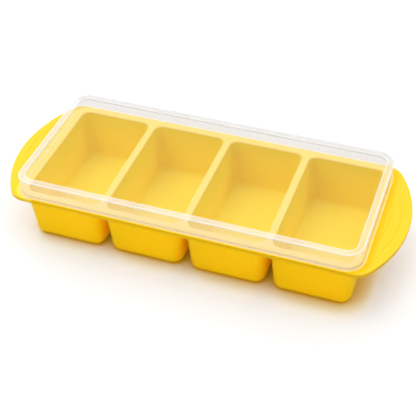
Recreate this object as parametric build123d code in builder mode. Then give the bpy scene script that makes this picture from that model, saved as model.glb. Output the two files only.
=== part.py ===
"""Silicone freezer tray: a row of four cups with a handle at each end, and a clear lift-off lid.

Millimetres, +Z up. The origin is on the resting surface, under the middle of the row of cups.
The cups stand along X.
"""

import os
from math import radians, tan

from build123d import *

# Cups
cup_count = 4
cup_length = 58.0  # opening along the row
cup_width = 103.0  # opening across the row
cup_depth = 42.0
cup_draft = 3.5  # degrees, the same inside and outside
cup_corner_radius = 8.5  # outside, where two walls meet
cup_base_radius = 6.0  # outside, where a wall meets the floor
cup_edge_radius = 1.2  # round the mouth of each cup
divider_width = 6.0  # rim left between two openings
wall = 2.5
floor_thickness = 2.5

# Rim, lip and handles
rim_thickness = 3.4
rim_edge_radius = 0.6
lip_margin = 5.8  # from an opening to the outer face of the lip
lip_height = 1.5  # above the rim
lip_corner_radius = 12.0
lip_edge_radius = 0.7
rim_shelf = 1.1  # rim left in front of the lid's skirt
handle_reach = 23.2  # from the end of the lip to the tip of a handle
handle_shoulder = 2.0  # from the end of the lip to where a handle's arc starts
handle_corner_radius = 14.0

# Grip grooves in the top of each handle
groove_count = 2
groove_spacing = 7.0  # also from the edge of the handle to the first groove
groove_width = 2.0
groove_depth = 0.4
groove_half_angle = 22.0

# Steel wire moulded into the rim
wire_diameter = 2.0

# Lid
lid_height = 14.3  # from the rim to the top of the raised border
lid_wall = 1.0
lid_draft = 2.0
lid_clearance = 0.3  # between the lip and the skirt
lid_edge_radius = 1.2
lid_bead_height = 1.7
lid_bead_reach = 0.3
lid_bead_radius = 0.25
border_width = 5.5  # raised border round the lid's top
border_corner_radius = 8.0
panel_drop = 1.2  # from the border down to the middle panel
panel_edge_radius = 0.5

# Heights
lip_top = cup_depth + floor_thickness
rim_top = lip_top - lip_height
rim_bottom = rim_top - rim_thickness
lid_top = rim_top + lid_height
panel_top = lid_top - panel_drop

# Plan sizes
cup_pitch = cup_length + divider_width
row_length = cup_count * cup_length + (cup_count - 1) * divider_width
lip_length = row_length + 2 * lip_margin
lip_width = cup_width + 2 * lip_margin
mouth_taper = (lip_top - rim_bottom) * tan(radians(cup_draft))
shell_length = cup_length - 2 * mouth_taper + 2 * wall
shell_width = cup_width - 2 * mouth_taper + 2 * wall
skirt_gap = 2 * lid_clearance
skirt_length = lip_length + skirt_gap + 2 * lid_wall
skirt_width = lip_width + skirt_gap + 2 * lid_wall
skirt_corner_radius = lip_corner_radius + lid_clearance + lid_wall
bead_length = skirt_length + 2 * lid_bead_reach
bead_width = skirt_width + 2 * lid_bead_reach
rim_width = bead_width + 2 * rim_shelf

# Handle arc: its tip, where it starts, its radius and the centre that the grooves share
handle_tip = lip_length / 2 + handle_reach
arc_start = lip_length / 2 + handle_shoulder
arc_rise = handle_tip - arc_start
handle_radius = (arc_rise**2 + (rim_width / 2) ** 2) / (2 * arc_rise)
handle_centre = handle_tip - handle_radius

os.makedirs("parts", exist_ok=True)


def lowest_edges(part):
    """The edges that lie flat at the bottom of a part."""
    return part.edges().group_by(Axis.Z)[0]


def corner_edges(part):
    """The four edges between the walls of a tapered box."""
    return part.edges().group_by(Axis.Z)[1]


# Outside of one cup, below the rim: a tapered box with rounded corners and base
with BuildPart() as shell:
    with BuildSketch():
        Rectangle(shell_length, shell_width)
    extrude(amount=rim_bottom)
    draft(shell.faces().filter_by(Axis.Z, reverse=True), Plane.XY.offset(rim_bottom), -cup_draft)
    fillet(corner_edges(shell), radius=cup_corner_radius)
    fillet(lowest_edges(shell), radius=cup_base_radius)

# Hollow of one cup, from its mouth down to its floor
with BuildPart() as hollow:
    with BuildSketch(Plane.XY.offset(floor_thickness)):
        Rectangle(cup_length, cup_width)
    extrude(amount=cup_depth)
    draft(hollow.faces().filter_by(Axis.Z, reverse=True), Plane.XY.offset(lip_top), -cup_draft)
    fillet(corner_edges(hollow), radius=cup_corner_radius - wall)
    fillet(lowest_edges(hollow), radius=cup_base_radius - floor_thickness)

# Wire loop, half way across the lip and half way up the rim and lip together
with BuildPart() as rim_wire:
    with BuildLine(Plane.XY.offset((rim_bottom + lip_top) / 2)) as wire_route:
        wire_x = (lip_length - lip_margin) / 2
        wire_y = (lip_width - lip_margin) / 2
        FilletPolyline(
            (wire_x, -wire_y),
            (wire_x, wire_y),
            (-wire_x, wire_y),
            (-wire_x, -wire_y),
            radius=lip_corner_radius - lip_margin / 2,
            close=True,
        )
    with BuildSketch(Plane(origin=wire_route.line @ 0, z_dir=wire_route.line % 0)):
        Circle(wire_diameter / 2)
    sweep()

# Tray: rim with both handles, lip, cups, grooves and the wire's channel
with BuildPart() as tray:
    with BuildSketch(Plane.XY.offset(rim_bottom)):
        with BuildLine():
            Line((-arc_start, rim_width / 2), (arc_start, rim_width / 2))
            ThreePointArc((arc_start, rim_width / 2), (handle_tip, 0), (arc_start, -rim_width / 2))
            Line((arc_start, -rim_width / 2), (-arc_start, -rim_width / 2))
            ThreePointArc((-arc_start, -rim_width / 2), (-handle_tip, 0), (-arc_start, rim_width / 2))
        rim_outline = make_face()
        fillet(rim_outline.vertices(), radius=handle_corner_radius)
    extrude(amount=rim_thickness)
    fillet(tray.edges().group_by(Axis.Z)[0] + tray.edges().group_by(Axis.Z)[-1], radius=rim_edge_radius)
    with BuildSketch(Plane.XY.offset(rim_top)):
        RectangleRounded(lip_length, lip_width, lip_corner_radius)
    extrude(amount=lip_height)
    fillet(tray.edges().group_by(Axis.Z)[-1], radius=lip_edge_radius)
    with GridLocations(cup_pitch, 0, cup_count, 1):
        add(shell.part)
    with GridLocations(cup_pitch, 0, cup_count, 1):
        add(hollow.part, mode=Mode.SUBTRACT)
    mouths = tray.faces().sort_by(Axis.Z)[-1].inner_wires()
    fillet([edge for mouth in mouths for edge in mouth.edges()], radius=cup_edge_radius)
    for side in (1, -1):
        middle_angle = 0 if side > 0 else 180
        for groove in range(groove_count):
            groove_radius = handle_radius - (groove + 1) * groove_spacing
            with BuildSketch(Plane.XY.offset(rim_top)):
                SlotArc(
                    CenterArc(
                        (side * handle_centre, 0),
                        groove_radius,
                        middle_angle - groove_half_angle,
                        2 * groove_half_angle,
                    ),
                    groove_width,
                )
            extrude(amount=-groove_depth, mode=Mode.SUBTRACT)
    add(rim_wire.part, mode=Mode.SUBTRACT)

# Lid: bead, skirt and raised border outside, one wall thickness everywhere
border_inset = 2 * (lid_height * tan(radians(lid_draft)) + border_width)
panel_length = skirt_length - border_inset
panel_width = skirt_width - border_inset
under_taper = 2 * (lid_height - lid_wall) * tan(radians(lid_draft))
with BuildPart() as lid:
    with BuildSketch(Plane.XY.offset(rim_top)):
        RectangleRounded(bead_length, bead_width, skirt_corner_radius + lid_bead_reach)
    extrude(amount=lid_bead_height)
    fillet(lid.edges().group_by(Axis.Z)[-1], radius=lid_bead_radius)
    with BuildSketch(Plane.XY.offset(rim_top)):
        RectangleRounded(skirt_length, skirt_width, skirt_corner_radius)
    extrude(amount=lid_height, taper=lid_draft)
    fillet(lid.edges().group_by(Axis.Z)[-1], radius=lid_edge_radius)
    with BuildSketch(Plane.XY.offset(lid_top)):
        RectangleRounded(panel_length, panel_width, border_corner_radius)
    extrude(amount=-panel_drop, mode=Mode.SUBTRACT)
    border_face = lid.faces().sort_by(Axis.Z)[-1]
    fillet(border_face.inner_wires()[0].edges(), radius=panel_edge_radius)
    panel_face = lid.faces().filter_by(GeomType.PLANE).filter_by_position(Axis.Z, panel_top, panel_top)[0]
    fillet(panel_face.outer_wire().edges(), radius=panel_edge_radius)
    with BuildSketch(Plane.XY.offset(rim_top)):
        RectangleRounded(lip_length + skirt_gap, lip_width + skirt_gap, skirt_corner_radius - lid_wall)
    extrude(amount=lid_height - lid_wall - panel_drop, taper=lid_draft, mode=Mode.SUBTRACT)
    with BuildSketch(Plane.XY.offset(panel_top - lid_wall)):
        RectangleRounded(
            lip_length + skirt_gap - under_taper,
            lip_width + skirt_gap - under_taper,
            skirt_corner_radius - lid_wall,
        )
        RectangleRounded(
            panel_length + 2 * lid_wall,
            panel_width + 2 * lid_wall,
            border_corner_radius + lid_wall,
            mode=Mode.SUBTRACT,
        )
    extrude(amount=panel_drop, mode=Mode.SUBTRACT)

for name, piece in (("tray", tray), ("rim_wire", rim_wire), ("lid", lid)):
    piece.part.label = name
    export_step(piece.part, f"parts/{name}.step")
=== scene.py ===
"""Four-cup silicone freezer tray under its clear lid: shapes, finishes, camera, studio light and floor."""

from math import cos, pi, radians, sin, tan

import bpy
import numpy as np
from mathutils import Matrix, Vector


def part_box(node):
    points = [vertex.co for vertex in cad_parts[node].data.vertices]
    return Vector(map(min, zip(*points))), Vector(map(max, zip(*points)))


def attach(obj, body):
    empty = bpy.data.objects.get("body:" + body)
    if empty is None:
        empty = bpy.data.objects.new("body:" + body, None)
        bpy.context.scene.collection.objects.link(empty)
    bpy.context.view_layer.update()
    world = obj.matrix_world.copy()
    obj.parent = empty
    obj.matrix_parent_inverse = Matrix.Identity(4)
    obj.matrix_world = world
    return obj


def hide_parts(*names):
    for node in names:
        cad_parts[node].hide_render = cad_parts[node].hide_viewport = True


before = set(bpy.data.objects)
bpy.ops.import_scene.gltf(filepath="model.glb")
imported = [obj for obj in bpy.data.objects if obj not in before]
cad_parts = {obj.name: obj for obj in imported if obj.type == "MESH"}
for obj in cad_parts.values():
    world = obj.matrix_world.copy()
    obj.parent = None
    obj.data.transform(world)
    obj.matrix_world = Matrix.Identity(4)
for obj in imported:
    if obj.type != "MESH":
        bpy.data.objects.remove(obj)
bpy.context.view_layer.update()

MM = 0.001
tray_high = np.array(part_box("tray")[1]) / MM
lid_low, lid_high = (np.array(corner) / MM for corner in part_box("lid"))

# Cups, in millimetres and radians
CUP_COUNT = 4
CUP_PITCH = 64.0
CUP_LENGTH = 58.0
CUP_WIDTH = 103.0
CUP_DEPTH = 42.0
CUP_DRAFT = radians(3.5)
CUP_EDGE_RADIUS = 1.2
HOLLOW_CORNER_RADIUS = 6.0
HOLLOW_BASE_RADIUS = 3.5
SHELL_CORNER_RADIUS = 8.5
SHELL_BASE_RADIUS = 6.0
SHELL_TOP_RADIUS = 0.6
WALL = 2.5
WALL_BOW = 0.35  # how far the soft walls lean in half way along

# Rim, lip and handles
LIP_TOP = tray_high[2]
RIM_TOP = lid_low[2]
RIM_THICKNESS = 3.4
RIM_BOTTOM = RIM_TOP - RIM_THICKNESS
RIM_EDGE_RADIUS = 0.5
RIM_HALF_WIDTH = tray_high[1]
LIP_MARGIN = 5.8
LIP_CORNER_RADIUS = 12.0
LIP_EDGE_RADIUS = 1.0
LIP_ROOT_RADIUS = 0.25
LIP_HALF = np.array([((CUP_COUNT - 1) * CUP_PITCH + CUP_LENGTH) / 2, CUP_WIDTH / 2]) + LIP_MARGIN
HANDLE_TIP = tray_high[0]
HANDLE_SHOULDER = 2.0
HANDLE_CORNER_RADIUS = 14.0
HANDLE_DROOP = 0.5  # how far the soft handles hang at their tips
HANDLE_RISE = HANDLE_TIP - LIP_HALF[0] - HANDLE_SHOULDER
HANDLE_RADIUS = (HANDLE_RISE**2 + RIM_HALF_WIDTH**2) / (2 * HANDLE_RISE)
HANDLE_MIDDLE = HANDLE_TIP - HANDLE_RADIUS  # centre of the arc across a handle's end
PARTING_LINE = 0.12  # how far the parting line stands out
GROOVE_COUNT = 2
GROOVE_SPACING = 7.0
GROOVE_WIDTH = 1.9
GROOVE_DEPTH = 0.55
GROOVE_HALF_ANGLE = radians(23)
GROOVE_FADE = radians(1.5)  # how soon a groove runs out at its ends

# Lid
LID_TOP = lid_high[2]
LID_SEAT_GAP = 0.08
LID_WALL = 1.0
LID_DRAFT = radians(2)
LID_EDGE_RADIUS = 0.9
EDGE_STRIP = 0.5  # how far the milky outer edge, a painted white highlight, goes in over the border
EDGE_STRIP_STEPS = 7  # how many steps of the rounding belong to it
BEAD_REACH = 0.3
BEAD_HEIGHT = 1.7
BEAD_TURN = radians(30)  # how steep the top of the rounded bead gets
BEAD_FOOT_TURN = -0.4 * BEAD_TURN
BEAD_HOLD = 0.02  # from the bead up to the skirt's last ring
SKIRT_HALF = lid_high[:2] - BEAD_REACH
SKIRT_CORNER_RADIUS = 13.3
BORDER_WIDTH = 5.5
PANEL_DROP = 1.2
PANEL_EDGE_RADIUS = 0.5
PANEL_RING = 6.5  # from the step in to the panel's innermost ring
FOOT_RADIUS = 0.15  # inside, at the skirt's lower edge
CHANNEL_OUTER_RADIUS = 0.5  # under the border, at the skirt
CHANNEL_INNER_RADIUS = 0.4  # under the border, at the step
UNDER_EDGE_RADIUS = 0.3  # under the panel's edge
PLACE_START = 13.0  # how far in from the lid's right end and back their tints start: painted yellow light at the right, painted shade at the back
PLACE_REACH = 9.0  # and how far they take to come in fully

# Tone of the silicone, one yellow painted in lit and shaded copies: from the warm yellow between the cups and
# round their bases, a painted shade with a painted glow, through the outside walls, the paler tops of rim and
# handles, the paler inside and its brighter floor, all painted light, to the pale one of the lip, painted
# light as well
GAP_AND_BASE_SHADE_TONE = 0.0
OUTSIDE_TONE = 0.12
RIM_TONE = 0.3
INSIDE_TONE = 0.6
CUP_FLOOR_TONE = 0.8
LIP_TONE = 1.0

# Where the rim's tone changes, in distances out from the foot of the lip; past the lid the rim has a painted
# shadow of the lid, which fades to the rim's tone
LID_COVER = 1.6  # the lid stands on the rim up to here
TONE_START = 1.8
TONE_REACH = 6.0
LEFT_TONE_REACH = 3.0

# Each colour stands in for light or shade falling on the same yellow silicone, not for a colour of its own
SILICONE_COLOURS = (
    (GAP_AND_BASE_SHADE_TONE, (0.97, 0.47, 0.002, 1)),
    (OUTSIDE_TONE, (0.885, 0.535, 0.002, 1)),
    (RIM_TONE, (0.96, 0.645, 0.035, 1)),
    (INSIDE_TONE, (0.99, 0.79, 0.046, 1)),
    (CUP_FLOOR_TONE, (0.98, 0.8, 0.085, 1)),
    (LIP_TONE, (0.97, 0.71, 0.2, 1)),
)

SILICONE_DRIFT = (0.985, 0.96, 0.9, 1)
PLASTIC_DRIFT = (0.97, 0.97, 0.975, 1)
DUST_COLOUR = (0.93, 0.91, 0.87, 1)
STEEL_BRIGHT = (0.66, 0.66, 0.68, 1)
STEEL_DULL = (0.55, 0.55, 0.57, 1)

# The silicone's finishes, for insides, lip and rim and for outsides: how much light goes in, and how far
INNER, OUTER = range(2)
SILICONE_FINISHES = (
    ("silicone", 0.1, 3 * MM),
    ("silicone_outside", 1.0, 20 * MM),
)

# The lid's finishes: clarity, tint, gloss, roughness, the share of light that passes, and tints at places:
# the yellow one at the right end is painted yellow light from the tray, the grey ones at the back are painted
# shade. The step and the outer edge are milky, which paints the white highlights along them
PANEL, SKIRT, BORDER, STEP_EDGE, INSIDE, BEAD, OUTER_EDGE = range(7)
LID_FINISHES = (
    ("lid_panel", 0.975, (0.99, 0.99, 0.99, 1), 0.3, 0.02, 0.99, {}),
    ("lid_skirt", 0.75, (0.965, 0.955, 0.94, 1), 0.7, 0.05, 0.97, {"back": (0.77, 0.775, 0.8, 1)}),
    ("lid_border", 0.56, (0.9, 0.905, 0.945, 1), 0.3, 0.05, 0.95,
     {"right": (0.9, 0.8, 0.54, 1), "back": (0.84, 0.84, 0.845, 1)}),
    # lid_step and lid_edge are milky, which paints the white highlights along the step and the outer edge;
    # both also have real gloss from their coat
    ("lid_step", 0.35, (0.94, 0.945, 0.98, 1), 1.0, 0.1, 0.88, {"back": (0.95, 0.945, 0.945, 1)}),
    ("lid_inside", 1.0, (0.99, 0.99, 0.99, 1), 0.0, 0.02, 0.99, {}),
    ("lid_bead", 0.75, (1, 0.99, 0.94, 1), 1.0, 0.05, 0.98, {}),
    ("lid_edge", 0.35, (0.92, 0.91, 0.95, 1), 1.0, 0.1, 0.93, {"back": (0.72, 0.715, 0.71, 1)}),
)

# Steps of the meshes
CORNER_STEPS = 12
SIDE_STEPS = 18
BASE_STEPS = 9
WALL_STEPS = 8
EDGE_STEPS = 5
HANDLE_STEPS = 64
LID_EDGE_STEPS = 8
SKIRT_STEPS = 6
UNDER_STEPS = HANDLE_STEPS // 4
CARRY_ROUNDS = 90
ON_OUTLINE = 1e-6  # how close a point on the lip's outline is to it
PATH_DIGITS = 6
MERGE_DIGITS = 4
HOLD = 0.3  # distance from a rounding to the extra ring that keeps a flat face flat
LIP_HOLD = 0.93  # the same ring on the lip, as a share of the way from a mouth to the edge
FOOT_HOLDS = 0.004, 0.02  # and on the rim, as shares of the way from the lip's foot to the outline

# Camera: a point that it looks at, its direction from there, and the picture's field of view
CAMERA_TARGET = (11.76 * MM, -28.98 * MM, 44.5 * MM)
CAMERA_AZIMUTH = radians(21.42)
CAMERA_ELEVATION = radians(42.19)
CAMERA_ROLL = radians(-2.25)
CAMERA_DISTANCE = 699.1 * MM
SENSOR_WIDTH = 36.0
PICTURE_WIDTH = 416
FOCAL_LENGTH_PIXELS = 959.7

# Studio light: each lamp's azimuth and elevation in degrees, counted as the camera's, and its strength
WORLD_STRENGTH = 0.26
LAMP_ANGLE = radians(45)
LAMPS = (
    ("top_lamp", 0, 90, 0.7),
    ("left_lamp", -69, 68, 0.66),
    ("back_left_lamp", -114, 45, 0.36),
    ("back_lamp", -159, 20, 1.4),
    ("back_right_lamp", 156, 45, 0.5),
    ("right_lamp", 100, 42, 0.62),
)

# The front lamp stands near, so its light gets weaker along the row; metres and watts
FRONT_LAMP_WAY = radians(-20), radians(27)
FRONT_LAMP_DISTANCE = 0.9
FRONT_LAMP_SIZE = 0.5
FRONT_LAMP_POWER = 1.53

FLOOR_SIZE = 6.0
FLOOR_REACH = 20 * MM  # how near the tray has to be to count as in the way of the sky
FLOOR_SAMPLES = 8

# How much less open the floor counts than it is: two changes along X, each from one place to another, so the
# painted golden shadow is weaker at the left and stronger past the right end
FLOOR_SHIFTS = (
    ("LINEAR", (-0.15, 0.15), (-0.16, 0.1)),
    ("SMOOTHSTEP", (0.105, 0.135), (0.0, 0.13)),
)

# Where these changes hold, by how open the floor is: in the soft part of the shadow
SHADOW_EDGE = (
    (0.4, (0, 0, 0, 1)),
    (0.65, (1, 1, 1, 1)),
    (0.8, (1, 1, 1, 1)),
    (0.95, (0, 0, 0, 1)),
)

# The floor's colour by how open it is to the sky: golden and darker under the edge of the tray, a painted
# shadow with a painted glow for the light that comes through the silicone, pale in the open
FLOOR_COLOURS = (
    (0.38, (0.83, 0.53, 0.03, 1)),
    (0.5, (0.83, 0.68, 0.3, 1)),
    (0.7, (0.81, 0.78, 0.68, 1)),
    (0.9, (0.78, 0.795, 0.805, 1)),
    (1.0, (0.74, 0.75, 0.77, 1)),
)

# The light of its own that the floor shows, in the same way
FLOOR_GLOWS = (
    (0.38, (0.09, 0.06, 0.003, 1)),
    (0.5, (0.1, 0.08, 0.055, 1)),
    (0.85, (0.23, 0.22, 0.2, 1)),
    (1.0, (0.22, 0.22, 0.22, 1)),
)

# A loop round a rounded rectangle: the normals of its points, and how near each is to the middle of a side
CORNER_SIGNS = np.array([[1, 1], [-1, 1], [-1, -1], [1, -1]])
CORNER_ANGLES = np.linspace(0, pi / 2, CORNER_STEPS + 1) + np.arange(4)[:, None] * pi / 2
CORNER_NORMALS = np.stack([np.cos(CORNER_ANGLES), np.sin(CORNER_ANGLES)], axis=-1)
SIDE_SHARES = np.linspace(0, 1, SIDE_STEPS + 1)[1:-1]
SIDE_NORMALS = np.repeat(CORNER_NORMALS[:, -1:], SIDE_STEPS - 1, axis=1)
LOOP_NORMALS = np.concatenate([CORNER_NORMALS, SIDE_NORMALS], axis=1).reshape(-1, 2)
LOOP_MIDDLES = np.tile(np.concatenate([np.zeros(CORNER_STEPS + 1), np.sin(pi * SIDE_SHARES) ** 2]), 4)
CORNER_MIDDLES = np.arange(4) * (CORNER_STEPS + SIDE_STEPS) + CORNER_STEPS // 2


def smooth_step(share):
    """A share cut off at 0 and 1 and eased in and out: three times its square less twice its cube."""
    share = np.clip(share, 0, 1)
    return share * share * (3 - 2 * share)


def rounded_loops(half_length, half_width, radius):
    """Rounded rectangles, one for each entry, as loops of points that run anticlockwise.

    A corner is a quarter circle about a centre one radius inside both sides. A side is the straight
    run from the end of one corner to the start of the next, in equal shares.
    """
    half_length, half_width, radius = np.broadcast_arrays(half_length, half_width, radius)
    centres = CORNER_SIGNS * np.stack([half_length - radius, half_width - radius], axis=-1)[:, None]
    arcs = centres[:, :, None] + radius[:, None, None, None] * CORNER_NORMALS
    starts, ends = arcs[:, :, -1:], np.roll(arcs[:, :, :1], -1, axis=1)
    sides = starts + (ends - starts) * SIDE_SHARES[:, None]
    return np.concatenate([arcs, sides], axis=2).reshape(len(radius), -1, 2)


def lifted(loops, heights):
    """Plan loops as rings in space, each at its own height."""
    heights = np.broadcast_to(np.reshape(heights, (-1, 1, 1)), loops.shape[:2] + (1,))
    return np.concatenate([loops, heights], axis=2)


def arc(centre, radius, start, end, steps=EDGE_STEPS):
    """Profile points (outward, up) on a circle round a centre, from one angle to another."""
    angles = np.linspace(start, end, steps + 1)
    return np.array(centre) + radius * np.stack([np.cos(angles), np.sin(angles)], axis=1)


def bowl_rings(half, top, bottom, corner_radius, base_radius, wall_end):
    """Rings of a drafted box with a rounded base, from the middle of its floor up its walls.

    The walls lean out by the draft from the base to the top plane, where they have the given half
    sizes. A circle that touches floor and wall joins them, and the corner radius shrinks by as much as
    that circle takes the ring in. Between its corners each wall bows in by a sine squared.
    """
    slope = tan(CUP_DRAFT)
    middle = bottom + base_radius
    inset = (top - middle + base_radius * sin(CUP_DRAFT)) * slope + base_radius * cos(CUP_DRAFT)
    base = arc((-inset, middle), base_radius, -pi / 2, -CUP_DRAFT, BASE_STEPS)
    wall_heights = np.linspace(base[-1, 1], wall_end, WALL_STEPS + 1)[1:]
    wall = np.stack([(wall_heights - top) * slope, wall_heights], axis=1)
    profile = np.concatenate([[(-inset - HOLD, bottom)], base, wall])
    radius = corner_radius + np.minimum(profile[:, 0] - base[-1, 0], 0)
    radius[len(base) + 1:] = corner_radius
    loops = rounded_loops(half[0] + profile[:, 0], half[1] + profile[:, 0], radius)
    rise = np.clip((profile[:, 1] - middle) / (top - middle), 0, 1)
    bow = WALL_BOW * np.sin(pi * rise) ** 2
    loops -= LOOP_NORMALS * (bow[:, None] * LOOP_MIDDLES)[..., None]
    return lifted(loops, profile[:, 1])


def mouth_rings():
    """Rings round a cup's mouth: a circle that touches wall and lip turns the wall over into the lip."""
    centre_height = LIP_TOP - CUP_EDGE_RADIUS
    start = centre_height + CUP_EDGE_RADIUS * sin(CUP_DRAFT)
    start_out = (start - LIP_TOP) * tan(CUP_DRAFT)
    centre = (start_out + CUP_EDGE_RADIUS * cos(CUP_DRAFT), centre_height)
    profile = arc(centre, CUP_EDGE_RADIUS, pi - CUP_DRAFT, pi / 2)
    profile = np.concatenate([profile, [(profile[-1, 0] + HOLD, LIP_TOP)]])
    out = profile[:, 0]
    loops = rounded_loops(CUP_LENGTH / 2 + out, CUP_WIDTH / 2 + out, HOLLOW_CORNER_RADIUS + out - start_out)
    return lifted(loops, profile[:, 1]), start


def lip_distance(points):
    """Signed distance from the lip's outline, a rounded rectangle; negative inside."""
    over = np.abs(points) - (LIP_HALF - LIP_CORNER_RADIUS)
    outside = np.hypot(*np.maximum(over, 0).T)
    return outside + np.minimum(over.max(axis=1), 0) - LIP_CORNER_RADIUS


def rim_distance(points):
    """Signed distance from the rim's outline, negative inside.

    The outline is a strip with an arc across each end. It is drawn one corner radius smaller, with
    sharp corners, and grown again, so beyond a sharp corner the distance is measured from that corner.
    """
    arc_radius = HANDLE_RADIUS - HANDLE_CORNER_RADIUS
    half_width = RIM_HALF_WIDTH - HANDLE_CORNER_RADIUS
    corner_reach = (arc_radius**2 - half_width**2) ** 0.5
    across, along = np.abs(points[:, 1]), np.abs(points[:, 0])
    strip = across - half_width
    end = np.hypot(along - HANDLE_MIDDLE, across) - arc_radius
    past_side = along - HANDLE_MIDDLE - corner_reach
    past_end = strip * corner_reach - past_side * half_width
    beyond = (past_side > 0) & (past_end > 0)
    distance = np.where(beyond, np.hypot(past_side, strip), np.maximum(strip, end))
    return distance - HANDLE_CORNER_RADIUS


def carried(points, normals, distance, level=0.0):
    """Points moved along their normals until the signed distance is the given level.

    Each step goes as far as the distance still to go, which never oversteps on a convex outline.
    """
    travel = np.zeros(len(points))
    for _ in range(CARRY_ROUNDS):
        travel += level - distance(points + normals * travel[:, None])
    return points + normals * travel[:, None]


def cell_edge(points, cup):
    """Where the lip of one cup ends: half way across a divider, or at the lip's rounded outer edge.

    Every point of the mouth goes straight out until it meets one of them. Where a divider meets the
    outer edge, the middle of the corner goes to that meeting point.
    """
    left_limit = -CUP_PITCH / 2 if cup > 0 else -np.inf
    right_limit = CUP_PITCH / 2 if cup < CUP_COUNT - 1 else np.inf
    centre = cup_centre(cup)

    def distance(at):
        lip = lip_distance(at) + LIP_EDGE_RADIUS
        along = at[:, 0] - centre
        return np.maximum(lip, np.maximum(left_limit - along, along - right_limit))

    edge = carried(points, LOOP_NORMALS, distance)
    for corner, (along, across) in zip(CORNER_MIDDLES, CORNER_SIGNS):
        limit = left_limit if along < 0 else right_limit
        if np.isfinite(limit):
            edge[corner] = centre + limit, across * (LIP_HALF[1] - LIP_EDGE_RADIUS)
    return edge


def cup_centre(cup):
    """Where a cup's middle is along the row."""
    return (cup - (CUP_COUNT - 1) / 2) * CUP_PITCH


def groove_depth(points):
    """Depth of the grip grooves: a cosine valley across each of two arcs, which fades at their ends."""
    along, across = np.abs(points[..., 0]) - HANDLE_MIDDLE, points[..., 1]
    from_edge = HANDLE_RADIUS - np.hypot(along, across)
    nearest = GROOVE_SPACING * np.clip(np.round(from_edge / GROOVE_SPACING), 1, GROOVE_COUNT)
    valley = np.cos(np.clip((from_edge - nearest) / GROOVE_WIDTH, -0.5, 0.5) * pi) ** 2
    ends = smooth_step((GROOVE_HALF_ANGLE - np.abs(np.arctan2(across, along))) / GROOVE_FADE)
    return GROOVE_DEPTH * valley * ends


def edge_rings(path):
    """Rings from the lip's edge out over the rim, round its outer edge and back under it, and their tones.

    The path is carried along its normals: over the lip's rounding, down a small hollow rounding to the rim,
    out to the rim's outline in equal shares, round that edge with a fine parting line, and back below. Past
    the lid the handles droop by a smooth step. On top, the tone is the lip's pale one, painted light, where
    the lid stands, and past it goes by a smooth step to that of the rim: from the darker one of the outside,
    a painted shadow of the lid on the rim, but at the left end, where the lid's skirt shows it, from the
    lip's, with no painted shadow.
    """
    over = np.abs(path) - (LIP_HALF - LIP_CORNER_RADIUS)
    normals = np.sign(path) * np.maximum(over, 0)
    normals /= np.linalg.norm(normals, axis=1)[:, None]
    lip = arc((0, LIP_TOP - LIP_EDGE_RADIUS), LIP_EDGE_RADIUS, pi / 2, 0)
    foot_centre = (LIP_EDGE_RADIUS + LIP_ROOT_RADIUS, RIM_TOP + LIP_ROOT_RADIUS)
    lip = np.concatenate([lip, arc(foot_centre, LIP_ROOT_RADIUS, pi, 1.5 * pi)])
    lip_rings = lifted(path + normals * lip[:, :1, None], lip[:, 1])
    root = path + normals * foot_centre[0]
    turn = arc((-RIM_EDGE_RADIUS, 0), RIM_EDGE_RADIUS, pi / 2, 0)
    outer = np.stack([carried(root, normals, rim_distance, level) for level in turn[:, 0]])
    shares = np.append(FOOT_HOLDS[0], np.linspace(FOOT_HOLDS[1], 1, HANDLE_STEPS))[:-1, None, None]
    shelf = lifted(root + (outer[0] - root) * shares, RIM_TOP)
    shelf[..., 2] -= groove_depth(shelf)
    drop = turn[:, 1] - RIM_EDGE_RADIUS
    upper_edge = lifted(outer, RIM_TOP + drop)
    parting = lifted(outer[-1:] + normals * PARTING_LINE, (RIM_TOP + RIM_BOTTOM) / 2)
    lower_edge = lifted(outer, RIM_BOTTOM - drop)[::-1]
    under_shares = np.linspace(0, 1, UNDER_STEPS)[1:, None, None]
    under = lifted(outer[0] + (path - outer[0]) * under_shares, RIM_BOTTOM)
    from_lip = np.linalg.norm(np.concatenate([shelf, upper_edge])[..., :2] - root, axis=2)
    # Painted shadow of the lid on the rim: the darker outside tone next to it, fading out; none at the left
    # end
    left_end = path[:, 0] < LIP_CORNER_RADIUS - LIP_HALF[0]
    away = smooth_step((from_lip - TONE_START) / np.where(left_end, LEFT_TONE_REACH, TONE_REACH))
    near_tone = np.where(left_end | (from_lip < LID_COVER), LIP_TONE, OUTSIDE_TONE)
    top_tone = near_tone + (RIM_TONE - near_tone) * away
    below = np.concatenate([parting, lower_edge, under])
    outer_rings = np.concatenate([shelf, upper_edge, below])
    past = (np.abs(outer_rings[..., 0]) - lid_high[0]) / (HANDLE_TIP - lid_high[0])
    outer_rings[..., 2] -= HANDLE_DROOP * smooth_step(past)
    lip_tone = np.full(lip_rings.shape[:2], LIP_TONE)
    below_tone = np.full(below.shape[:2], OUTSIDE_TONE)
    return np.concatenate([lip_rings, outer_rings]), np.concatenate([lip_tone, top_tone, below_tone])


def ring_quads(rings):
    """Four-sided faces between each ring and the next, as indices into the rings' points."""
    count, size = rings.shape[:2]
    first = np.arange(size) + size * np.arange(count - 1)[:, None]
    following = np.roll(first, -1, axis=1)
    return np.stack([first, first + size, following + size, following], axis=-1).reshape(-1, 4)


def build_piece(name, points, faces):
    """A smooth-shaded mesh from points in millimetres."""
    mesh = bpy.data.meshes.new(name)
    mesh.from_pydata((points * MM).tolist(), [], faces)
    mesh.polygons.foreach_set("use_smooth", np.ones(len(mesh.polygons), dtype=bool))
    piece = bpy.data.objects.new(name, mesh)
    bpy.context.collection.objects.link(piece)
    return piece


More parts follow.
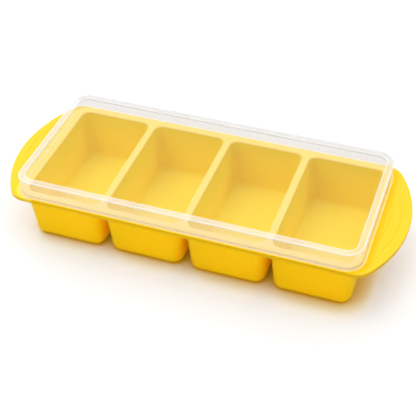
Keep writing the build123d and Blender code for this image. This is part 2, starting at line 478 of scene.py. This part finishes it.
def build_tray(finishes):
    """The silicone tray as one closed skin.

    Each cup is a run of rings: up the hollow, over its mouth and out to the edge of its share of the lip, and
    again from below the rim down its outside. The outer ends of those shares, in order round the tray, are
    the path of the rim's rings. Points that meet are merged. Each point keeps a tone, which paints light and
    shade: inside, it goes from the floor's brighter one to the walls' up the rounded base, and outside, to a
    warmer, darker painted shade down the base and by the square of how far a wall faces the next cup.
    """
    hollow_half = np.array([CUP_LENGTH, CUP_WIDTH]) / 2
    mouth, wall_end = mouth_rings()
    hollow = bowl_rings(
        hollow_half, LIP_TOP, LIP_TOP - CUP_DEPTH, HOLLOW_CORNER_RADIUS, HOLLOW_BASE_RADIUS, wall_end
    )
    shell_half = hollow_half + WALL - (LIP_TOP - RIM_BOTTOM) * tan(CUP_DRAFT)
    shell = bowl_rings(
        shell_half, RIM_BOTTOM, 0, SHELL_CORNER_RADIUS, SHELL_BASE_RADIUS, RIM_BOTTOM - SHELL_TOP_RADIUS
    )[::-1]
    root = arc((SHELL_TOP_RADIUS, RIM_BOTTOM - SHELL_TOP_RADIUS), SHELL_TOP_RADIUS, pi / 2, pi)[:-1]
    out = root[:, 0]
    root_loops = rounded_loops(shell_half[0] + out, shell_half[1] + out, SHELL_CORNER_RADIUS + out)
    shell_root = lifted(root_loops, root[:, 1])
    base_share = np.linspace(0, 1, BASE_STEPS + 2)
    points, tones, faces, finish, outer_ends = [], [], [], [], []
    count = 0
    for cup in range(CUP_COUNT):
        shift = np.array([cup_centre(cup), 0, 0])
        inner = np.concatenate([hollow, mouth[1:]]) + shift
        mouth_edge = inner[-1, :, :2]
        edge = cell_edge(mouth_edge, cup)
        near_edge = mouth_edge + (edge - mouth_edge) * LIP_HOLD
        inner = np.concatenate([inner, lifted(np.stack([near_edge, edge]), LIP_TOP)])
        outer = np.concatenate([lifted(edge[None], RIM_BOTTOM), shell_root + shift, shell + shift])
        size = inner.shape[1]
        # Painted light: the inside paler than the outside, its floor brighter still
        inner_tone = np.full((len(inner), 1), LIP_TONE)
        inner_tone[:len(hollow)] = INSIDE_TONE
        inner_tone[:len(base_share), 0] = CUP_FLOOR_TONE + (INSIDE_TONE - CUP_FLOOR_TONE) * base_share
        # Painted shade: darker and warmer down the base and on walls that face the next cup
        base = np.zeros((len(outer), 1))
        base[-len(base_share):, 0] = base_share
        has_next = np.where(LOOP_NORMALS[:, 0] < 0, cup > 0, cup < CUP_COUNT - 1)
        gap_shade = LOOP_NORMALS[:, 0] ** 2 * has_next
        outer_tone = OUTSIDE_TONE + (GAP_AND_BASE_SHADE_TONE - OUTSIDE_TONE) * np.maximum(base, gap_shade)
        inner_cap, outer_cap = np.arange(size), len(outer) * size - 1 - np.arange(size)
        sides = (INNER, inner, inner_tone, inner_cap), (OUTER, outer, outer_tone, outer_cap)
        for side, rings, tone, cap in sides:
            points.append(rings.reshape(-1, 3))
            tones.append(np.broadcast_to(tone, rings.shape[:2]).reshape(-1))
            made = (ring_quads(rings) + count).tolist() + [(cap + count).tolist()]
            finish += [side] * len(made)
            faces += made
            count += len(points[-1])
        outer_ends.append(edge[np.abs(lip_distance(edge) + LIP_EDGE_RADIUS) < ON_OUTLINE])
    path = np.unique(np.concatenate(outer_ends).round(PATH_DIGITS), axis=0)
    path = path[np.argsort(np.arctan2(path[:, 1], path[:, 0]))]
    rim, rim_tone = edge_rings(path)
    points.append(rim.reshape(-1, 3))
    tones.append(rim_tone.reshape(-1))
    made = (ring_quads(rim) + count).tolist()
    finish += [INNER] * len(made)
    faces += made
    merged, first, index = np.unique(
        np.concatenate(points).round(MERGE_DIGITS), axis=0, return_index=True, return_inverse=True
    )
    index = index.reshape(-1)
    faces = [index[face].tolist() for face in faces]
    piece = build_piece("silicone_tray", merged, faces)
    tone = piece.data.attributes.new("tone", "FLOAT", "POINT")
    tone.data.foreach_set("value", np.concatenate(tones)[first].astype(np.float32))
    for material in finishes:
        piece.data.materials.append(material)
    piece.data.polygons.foreach_set("material_index", np.array(finish, dtype=np.int32))
    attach(piece, "tray")
    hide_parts("tray")


def lid_profile():
    """The lid's section, from the middle of the panel out and down the outside, and back up inside.

    Points are (out from the skirt's lower edge, up). Circles round every edge, and the bead is a flat
    arc that stands out from the skirt. With each point goes the finish of the face after it.
    """
    slope = tan(LID_DRAFT)
    panel_top = LID_TOP - PANEL_DROP
    panel_under = panel_top - LID_WALL
    border_under = LID_TOP - LID_WALL
    step = -(LID_TOP - RIM_TOP) * slope - BORDER_WIDTH
    middle = step - PANEL_RING
    step_in, step_out = step - PANEL_EDGE_RADIUS, step + PANEL_EDGE_RADIUS
    panel_edge = arc((step_in, panel_top + PANEL_EDGE_RADIUS), PANEL_EDGE_RADIUS, -pi / 2, 0)
    border_edge = arc((step_out, LID_TOP - PANEL_EDGE_RADIUS), PANEL_EDGE_RADIUS, pi, pi / 2)
    turn_height = LID_TOP - LID_EDGE_RADIUS
    turn_end = turn_height + LID_EDGE_RADIUS * sin(LID_DRAFT)
    turn_out = -(turn_end - RIM_TOP) * slope - LID_EDGE_RADIUS * cos(LID_DRAFT)
    top_edge = arc((turn_out, turn_height), LID_EDGE_RADIUS, pi / 2, LID_DRAFT, LID_EDGE_STEPS)

    seat = RIM_TOP + LID_SEAT_GAP
    bead_radius = (BEAD_HEIGHT - LID_SEAT_GAP) / (sin(BEAD_TURN) - sin(BEAD_FOOT_TURN))
    bead_centre = (-bead_radius * cos(BEAD_TURN), seat - bead_radius * sin(BEAD_FOOT_TURN))
    bead = arc(bead_centre, bead_radius, BEAD_TURN, BEAD_FOOT_TURN, LID_EDGE_STEPS)
    bead_top = bead[0, 1]
    skirt_heights = np.linspace(top_edge[-1, 1], bead_top + HOLD, SKIRT_STEPS + 1)[1:]
    skirt_heights = np.append(skirt_heights, bead_top + BEAD_HOLD)
    skirt = np.stack([-(skirt_heights - RIM_TOP) * slope, skirt_heights], axis=1)

    inner_foot = arc((FOOT_RADIUS - LID_WALL, seat + FOOT_RADIUS), FOOT_RADIUS, -pi / 2, -pi)
    channel_height = border_under - CHANNEL_OUTER_RADIUS
    inner_heights = np.linspace(inner_foot[-1, 1] + HOLD, channel_height, SKIRT_STEPS + 1)
    inner = np.stack([-LID_WALL - (inner_heights - RIM_TOP) * slope, inner_heights], axis=1)
    channel_out = inner[-1, 0] - CHANNEL_OUTER_RADIUS
    channel_outer = arc((channel_out, channel_height), CHANNEL_OUTER_RADIUS, 0, pi / 2)[1:]
    under_step = step + LID_WALL
    channel_centre = (under_step + CHANNEL_INNER_RADIUS, border_under - CHANNEL_INNER_RADIUS)
    channel_inner = arc(channel_centre, CHANNEL_INNER_RADIUS, pi / 2, pi)
    under_in = under_step - UNDER_EDGE_RADIUS
    under_edge = arc((under_in, panel_under + UNDER_EDGE_RADIUS), UNDER_EDGE_RADIUS, 0, -pi / 2)
    strip_start = [(turn_out - EDGE_STRIP, LID_TOP)]
    stretches = [
        (np.array([(middle, panel_top), (step_in - HOLD, panel_top)]), PANEL),
        (panel_edge, BORDER),
        (border_edge, STEP_EDGE),
        (np.array([(step_out + HOLD, LID_TOP)]), BORDER),
        (np.concatenate([strip_start, top_edge[:EDGE_STRIP_STEPS]]), OUTER_EDGE),
        (np.concatenate([top_edge[EDGE_STRIP_STEPS:], skirt]), SKIRT),
        (bead, BEAD),
        (np.concatenate([inner_foot, inner, channel_outer, channel_inner, under_edge]), INSIDE),
        (np.array([(under_in - HOLD, panel_under), (middle, panel_under)]), INSIDE),
    ]
    profile = np.concatenate([points for points, finish in stretches])
    finishes = np.concatenate([np.full(len(points), finish) for points, finish in stretches])
    return profile, finishes


def build_lid(finishes):
    """The lid: its section carried round a rounded rectangle.

    The rectangle's corner radius follows the section in and out. The points keep how far they belong to the
    lid's right end and to its back, as smooth steps along X and Y, which carry the painted yellow light at
    the right and the painted shade at the back.
    """
    profile, finish = lid_profile()
    out = profile[:, 0]
    loops = rounded_loops(SKIRT_HALF[0] + out, SKIRT_HALF[1] + out, SKIRT_CORNER_RADIUS + out)
    rings = lifted(loops, profile[:, 1])
    size = rings.shape[1]
    caps = [np.arange(size).tolist(), (rings.shape[0] * size - 1 - np.arange(size)).tolist()]
    piece = build_piece("clear_lid", rings.reshape(-1, 3), ring_quads(rings).tolist() + caps)
    for material in finishes:
        piece.data.materials.append(material)
    face_finish = np.concatenate([np.repeat(finish[:-1], size), [PANEL, INSIDE]])
    piece.data.polygons.foreach_set("material_index", face_finish.astype(np.int32))
    past_start = rings[..., :2].reshape(-1, 2) - SKIRT_HALF + PLACE_START
    right, back = smooth_step(past_start / PLACE_REACH).T
    for name, values in (("right", right * (1 - back)), ("back", back)):
        attribute = piece.data.attributes.new(name, "FLOAT", "POINT")
        attribute.data.foreach_set("value", values.astype(np.float32))
    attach(piece, "lid")
    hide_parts("lid")


def direction(azimuth, elevation):
    """The way towards something seen from the tray; azimuth 0 is in front of the row of cups."""
    return Vector((sin(azimuth) * cos(elevation), -cos(azimuth) * cos(elevation), sin(elevation)))


def place_camera():
    """A camera on a ray from the target, rolled about its own line of sight."""
    data = bpy.data.cameras.new("photo_camera")
    data.sensor_width = SENSOR_WIDTH
    data.lens = FOCAL_LENGTH_PIXELS / PICTURE_WIDTH * SENSOR_WIDTH
    data.clip_start = 0.01
    back = direction(CAMERA_AZIMUTH, CAMERA_ELEVATION)
    right = Vector((cos(CAMERA_AZIMUTH), sin(CAMERA_AZIMUTH), 0))
    up = back.cross(right)
    rolled_right = right * cos(CAMERA_ROLL) + up * sin(CAMERA_ROLL)
    rolled_up = up * cos(CAMERA_ROLL) - right * sin(CAMERA_ROLL)
    axes = Matrix((rolled_right, rolled_up, back)).transposed().to_4x4()
    camera = bpy.data.objects.new("photo_camera", data)
    camera.matrix_world = Matrix.Translation(Vector(CAMERA_TARGET) + back * CAMERA_DISTANCE) @ axes
    bpy.context.collection.objects.link(camera)
    bpy.context.scene.camera = camera


def reckoned(nodes, links, operation, first, second):
    """The result of a sum on two values, each a number or an output of a node."""
    node = nodes.new("ShaderNodeMath")
    node.operation = operation
    for socket, value in zip(node.inputs, (first, second)):
        if isinstance(value, (int, float)):
            socket.default_value = value
        else:
            links.new(value, socket)
    return node.outputs[0]


def backdrop_rays(nodes, links):
    """1 for rays that see the background: from the camera, in a reflection or through clear plastic."""
    rays = nodes.new("ShaderNodeLightPath").outputs
    seen = reckoned(nodes, links, "MAXIMUM", rays["Is Camera Ray"], rays["Is Glossy Ray"])
    return reckoned(nodes, links, "MAXIMUM", seen, rays["Is Transmission Ray"])


def hang_lamp(light, way, distance=0.0):
    """A lamp that shines from the given way, and that neither reflections nor clear plastic show."""
    lamp = bpy.data.objects.new(light.name, light)
    lamp.location = way * distance
    lamp.rotation_euler = way.to_track_quat("Z", "Y").to_euler()
    lamp.visible_glossy = False
    lamp.visible_transmission = False
    bpy.context.collection.objects.link(lamp)


def light_studio():
    """Even surroundings that look white but light the tray more gently, and soft lamps on every side.

    All lamps but the front one are as broad and as far as the sky.
    """
    world = bpy.data.worlds.new("studio")
    world.use_nodes = True
    nodes, links = world.node_tree.nodes, world.node_tree.links
    background = nodes["Background"]
    background.inputs["Color"].default_value = (1, 1, 1, 1)
    level = nodes.new("ShaderNodeMapRange")
    level.inputs["To Min"].default_value = WORLD_STRENGTH
    level.inputs["To Max"].default_value = 1
    links.new(backdrop_rays(nodes, links), level.inputs["Value"])
    links.new(level.outputs["Result"], background.inputs["Strength"])
    bpy.context.scene.world = world

    for name, azimuth, elevation, strength in LAMPS:
        light = bpy.data.lights.new(name, "SUN")
        light.energy = strength
        light.angle = LAMP_ANGLE
        hang_lamp(light, direction(radians(azimuth), radians(elevation)))
    light = bpy.data.lights.new("front_lamp", "AREA")
    light.energy = FRONT_LAMP_POWER
    light.size = FRONT_LAMP_SIZE
    hang_lamp(light, direction(*FRONT_LAMP_WAY), FRONT_LAMP_DISTANCE)


def lay_floor():
    """A wide pale floor under the tray.

    It has a little light of its own that only shows and lights nothing, and that fades where the tray stands
    over it. There the floor's colour is painted golden and darker, a painted shadow with a painted glow for
    the light that comes through the silicone, less so at the left and more past the right end.
    """
    half = FLOOR_SIZE / 2
    corners = [(along * half, across * half, 0) for along, across in CORNER_SIGNS.tolist()]
    mesh = bpy.data.meshes.new("floor")
    mesh.from_pydata(corners, [], [(0, 1, 2, 3)])
    floor = bpy.data.objects.new("floor", mesh)
    material, nodes, links, shader = new_material("floor")
    shader.inputs["Roughness"].default_value = 1
    shader.inputs["Specular IOR Level"].default_value = 0
    open_sky = nodes.new("ShaderNodeAmbientOcclusion")
    open_sky.inputs["Distance"].default_value = FLOOR_REACH
    open_sky.samples = FLOOR_SAMPLES
    place = nodes.new("ShaderNodeSeparateXYZ")
    links.new(nodes.new("ShaderNodeTexCoord").outputs["Object"], place.inputs["Vector"])
    shifts = []
    for interpolation, places, amounts in FLOOR_SHIFTS:
        change = nodes.new("ShaderNodeMapRange")
        change.interpolation_type = interpolation
        for name, value in zip(("From Min", "From Max", "To Min", "To Max"), places + amounts):
            change.inputs[name].default_value = value
        links.new(place.outputs["X"], change.inputs["Value"])
        shifts.append(change.outputs["Result"])
    shadow_edge = colour_steps(nodes, links, open_sky.outputs["AO"], SHADOW_EDGE)
    shift = reckoned(nodes, links, "ADD", *shifts)
    shift = reckoned(nodes, links, "MULTIPLY", shift, shadow_edge)
    openness = reckoned(nodes, links, "SUBTRACT", open_sky.outputs["AO"], shift)
    for socket, steps in (("Base Color", FLOOR_COLOURS), ("Emission Color", FLOOR_GLOWS)):
        links.new(colour_steps(nodes, links, openness, steps), shader.inputs[socket])
    links.new(backdrop_rays(nodes, links), shader.inputs["Emission Strength"])
    mesh.materials.append(material)
    bpy.context.collection.objects.link(floor)


def moulded_surface():
    """Node group for what a mould and handling leave on a surface, on object coordinates.

    Grain is fine noise in two sizes. Clouds is broad soft noise. Rubbed is a mask of uneven patches with
    fine strokes in them, where hands and stacking polish the surface. Specks is a mask of sparse dots,
    dust that clings to it.
    """
    group = bpy.data.node_groups.new("moulded_surface", "ShaderNodeTree")
    sockets = group.interface
    for name, size in (("Grain Size", 0.4 * MM), ("Cloud Size", 50 * MM), ("Speck Spacing", 9 * MM)):
        sockets.new_socket(name, in_out="INPUT", socket_type="NodeSocketFloat").default_value = size
    for name in ("Grain", "Clouds", "Rubbed", "Specks"):
        sockets.new_socket(name, in_out="OUTPUT", socket_type="NodeSocketFloat")
    nodes, links = group.nodes, group.links
    given, result = nodes.new("NodeGroupInput"), nodes.new("NodeGroupOutput")
    place = nodes.new("ShaderNodeTexCoord").outputs["Object"]

    def math(operation, first, second):
        return reckoned(nodes, links, operation, first, second)

    def noise(scale, detail=2.0, vector=place):
        node = nodes.new("ShaderNodeTexNoise")
        node.inputs["Detail"].default_value = detail
        links.new(vector, node.inputs["Vector"])
        links.new(scale, node.inputs["Scale"])
        return node.outputs["Fac"]

    def band(value, low, high):
        node = nodes.new("ShaderNodeMapRange")
        node.interpolation_type = "SMOOTHSTEP"
        node.inputs["From Min"].default_value = low
        node.inputs["From Max"].default_value = high
        links.new(value, node.inputs["Value"])
        return node.outputs["Result"]

    fine = math("DIVIDE", 1, given.outputs["Grain Size"])
    broad = math("DIVIDE", 1, given.outputs["Cloud Size"])
    coarse_grain = math("MULTIPLY", noise(math("MULTIPLY", fine, 0.3)), 0.5)
    links.new(math("ADD", noise(fine), coarse_grain), result.inputs["Grain"])
    links.new(noise(broad, 3.0), result.inputs["Clouds"])

    stretch = nodes.new("ShaderNodeMapping")
    stretch.inputs["Scale"].default_value = (1, 12, 12)
    stretch.inputs["Rotation"].default_value = (0, 0, radians(28))
    links.new(place, stretch.inputs["Vector"])
    strokes = band(noise(math("MULTIPLY", broad, 6), 2.0, stretch.outputs["Vector"]), 0.45, 0.7)
    patches = band(noise(math("MULTIPLY", broad, 1.7), 4.0), 0.5, 0.72)
    streaked = math("ADD", math("MULTIPLY", strokes, 0.6), 0.4)
    links.new(math("MULTIPLY", patches, streaked), result.inputs["Rubbed"])

    dots = nodes.new("ShaderNodeTexVoronoi")
    links.new(place, dots.inputs["Vector"])
    links.new(math("DIVIDE", 1, given.outputs["Speck Spacing"]), dots.inputs["Scale"])
    near = band(dots.outputs["Distance"], 0.03, 0.012)
    chosen = nodes.new("ShaderNodeSeparateColor")
    links.new(dots.outputs["Color"], chosen.inputs["Color"])
    kept = math("GREATER_THAN", chosen.outputs["Red"], 0.6)
    links.new(math("MULTIPLY", near, kept), result.inputs["Specks"])
    return group


def new_material(name):
    """A material with its nodes, links and shader."""
    material = bpy.data.materials.new(name)
    material.use_nodes = True
    nodes = material.node_tree.nodes
    return material, nodes, material.node_tree.links, nodes["Principled BSDF"]


def placed(group, nodes, **sizes):
    """The group as a node in a material, with its own sizes."""
    node = nodes.new("ShaderNodeGroup")
    node.node_tree = group
    for name, size in sizes.items():
        node.inputs[name.replace("_", " ")].default_value = size
    return node


def spread(nodes, links, value, low, high):
    """A value from 0 to 1 put between two others."""
    node = nodes.new("ShaderNodeMapRange")
    node.inputs["To Min"].default_value = low
    node.inputs["To Max"].default_value = high
    links.new(value, node.inputs["Value"])
    return node.outputs["Result"]


def blended(nodes, links, share, first, second, blend="MIX"):
    """One colour laid over another by a share that is a number or a mask."""
    node = nodes.new("ShaderNodeMix")
    node.data_type = "RGBA"
    node.blend_type = blend
    for name, value in (("Factor_Float", share), ("A_Color", first), ("B_Color", second)):
        socket = next(socket for socket in node.inputs if socket.identifier == name)
        if isinstance(value, (int, float, tuple)):
            socket.default_value = value
        else:
            links.new(value, socket)
    return next(socket for socket in node.outputs if socket.identifier == "Result_Color")


def colour_steps(nodes, links, value, steps):
    """Colours for a value, blended between (value, colour) steps."""
    ramp = nodes.new("ShaderNodeValToRGB")
    stops = ramp.color_ramp.elements
    for _ in range(len(steps) - len(stops)):
        stops.new(0.5)
    for stop, (position, colour) in zip(stops, steps):
        stop.position = position
        stop.color = colour
    links.new(value, ramp.inputs["Fac"])
    return ramp.outputs["Color"]


def read_attribute(nodes, name):
    """A number that the mesh keeps with its points."""
    node = nodes.new("ShaderNodeAttribute")
    node.attribute_name = name
    return node.outputs["Fac"]


def embossed(nodes, links, height, depth):
    """A normal from a height between 0 and 1, which stands for the given depth."""
    bump = nodes.new("ShaderNodeBump")
    bump.inputs["Distance"].default_value = depth
    links.new(height, bump.inputs["Height"])
    return bump.outputs["Normal"]


def silicone(surface, name, glow, glow_depth):
    """Silicone in tones that paint light and shade on the tray's parts; light that goes in comes out again up
    to glow_depth away.

    Its colour drifts a little in broad clouds, the satin is glossier where it is rubbed, and pale dust
    clings to it.
    """
    material, nodes, links, shader = new_material(name)
    detail = placed(surface, nodes, Grain_Size=0.35 * MM, Cloud_Size=45 * MM, Speck_Spacing=9 * MM)
    # The tones paint light and shade: lit and shaded copies of one yellow
    toned = colour_steps(nodes, links, read_attribute(nodes, "tone"), SILICONE_COLOURS)
    coloured = blended(nodes, links, detail.outputs["Clouds"], toned, SILICONE_DRIFT, "MULTIPLY")
    dust = spread(nodes, links, detail.outputs["Specks"], 0.0, 0.25)
    links.new(blended(nodes, links, dust, coloured, DUST_COLOUR), shader.inputs["Base Color"])
    links.new(spread(nodes, links, detail.outputs["Rubbed"], 0.52, 0.4), shader.inputs["Roughness"])
    links.new(embossed(nodes, links, detail.outputs["Grain"], 0.012 * MM), shader.inputs["Normal"])
    shader.inputs["Specular IOR Level"].default_value = 0.08
    shader.inputs["Subsurface Weight"].default_value = glow
    shader.inputs["Subsurface Radius"].default_value = (1, 0.55, 0.08)
    shader.inputs["Subsurface Scale"].default_value = glow_depth
    return material


def clear_plastic(surface, name, clarity, tint, gloss, roughness, passes, places):
    """Thin clear plastic that scatters a little and hardly bends what is seen through it.

    Lamps and daylight go straight through it, less what it holds back. A coat gives its gloss. Rubbed patches
    are duller, the tint drifts a little, and dust shows as pale specks. The lid's places can have tints that
    paint light: a yellow one at the right end paints the tray's light picked up by the plastic, and a grey
    one at the back paints shade; where the back has one it has no gloss.
    """
    material, nodes, links, shader = new_material(name)
    detail = placed(surface, nodes, Grain_Size=0.8 * MM, Cloud_Size=30 * MM, Speck_Spacing=14 * MM)
    # Painted light: yellow at the right end, grey shade at the back
    for place, place_tint in places.items():
        tint = blended(nodes, links, read_attribute(nodes, place), tint, place_tint)
    tinted = blended(nodes, links, detail.outputs["Clouds"], tint, PLASTIC_DRIFT, "MULTIPLY")
    dust = spread(nodes, links, detail.outputs["Specks"], 0.0, 0.4)
    links.new(blended(nodes, links, dust, tinted, DUST_COLOUR), shader.inputs["Base Color"])
    dulled = spread(nodes, links, detail.outputs["Rubbed"], roughness, roughness + 0.05)
    links.new(dulled, shader.inputs["Roughness"])
    links.new(embossed(nodes, links, detail.outputs["Grain"], 0.004 * MM), shader.inputs["Normal"])
    shader.inputs["IOR"].default_value = 1.001
    shader.inputs["Coat Weight"].default_value = gloss
    if "back" in places:
        fading = spread(nodes, links, read_attribute(nodes, "back"), gloss, 0.0)
        links.new(fading, shader.inputs["Coat Weight"])
    shader.inputs["Coat Roughness"].default_value = 0.03
    shader.inputs["Transmission Weight"].default_value = clarity
    through = nodes.new("ShaderNodeBsdfTransparent")
    through.inputs["Color"].default_value = (passes, passes, passes, 1)
    rays = nodes.new("ShaderNodeLightPath").outputs
    lighting = reckoned(nodes, links, "MAXIMUM", rays["Is Shadow Ray"], rays["Is Diffuse Ray"])
    mix = nodes.new("ShaderNodeMixShader")
    links.new(lighting, mix.inputs["Fac"])
    links.new(shader.outputs["BSDF"], mix.inputs[1])
    links.new(through.outputs["BSDF"], mix.inputs[2])
    links.new(mix.outputs["Shader"], nodes["Material Output"].inputs["Surface"])
    return material


def drawn_steel(surface, name):
    """Stainless wire: bright metal with fine streaks and a few dull patches from drawing."""
    material, nodes, links, shader = new_material(name)
    detail = placed(surface, nodes, Grain_Size=0.15 * MM, Cloud_Size=12 * MM, Speck_Spacing=6 * MM)
    steel = blended(nodes, links, detail.outputs["Clouds"], STEEL_BRIGHT, STEEL_DULL)
    links.new(steel, shader.inputs["Base Color"])
    links.new(spread(nodes, links, detail.outputs["Rubbed"], 0.28, 0.42), shader.inputs["Roughness"])
    links.new(embossed(nodes, links, detail.outputs["Grain"], 0.006 * MM), shader.inputs["Normal"])
    shader.inputs["Metallic"].default_value = 1
    return material


bpy.context.scene.view_settings.view_transform = "Standard"
place_camera()
light_studio()
lay_floor()
surface = moulded_surface()
build_tray([silicone(surface, *finish) for finish in SILICONE_FINISHES])
build_lid([clear_plastic(surface, *finish) for finish in LID_FINISHES])
wire_steel = drawn_steel(surface, "wire_steel")
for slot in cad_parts["rim_wire"].material_slots:
    slot.material = wire_steel
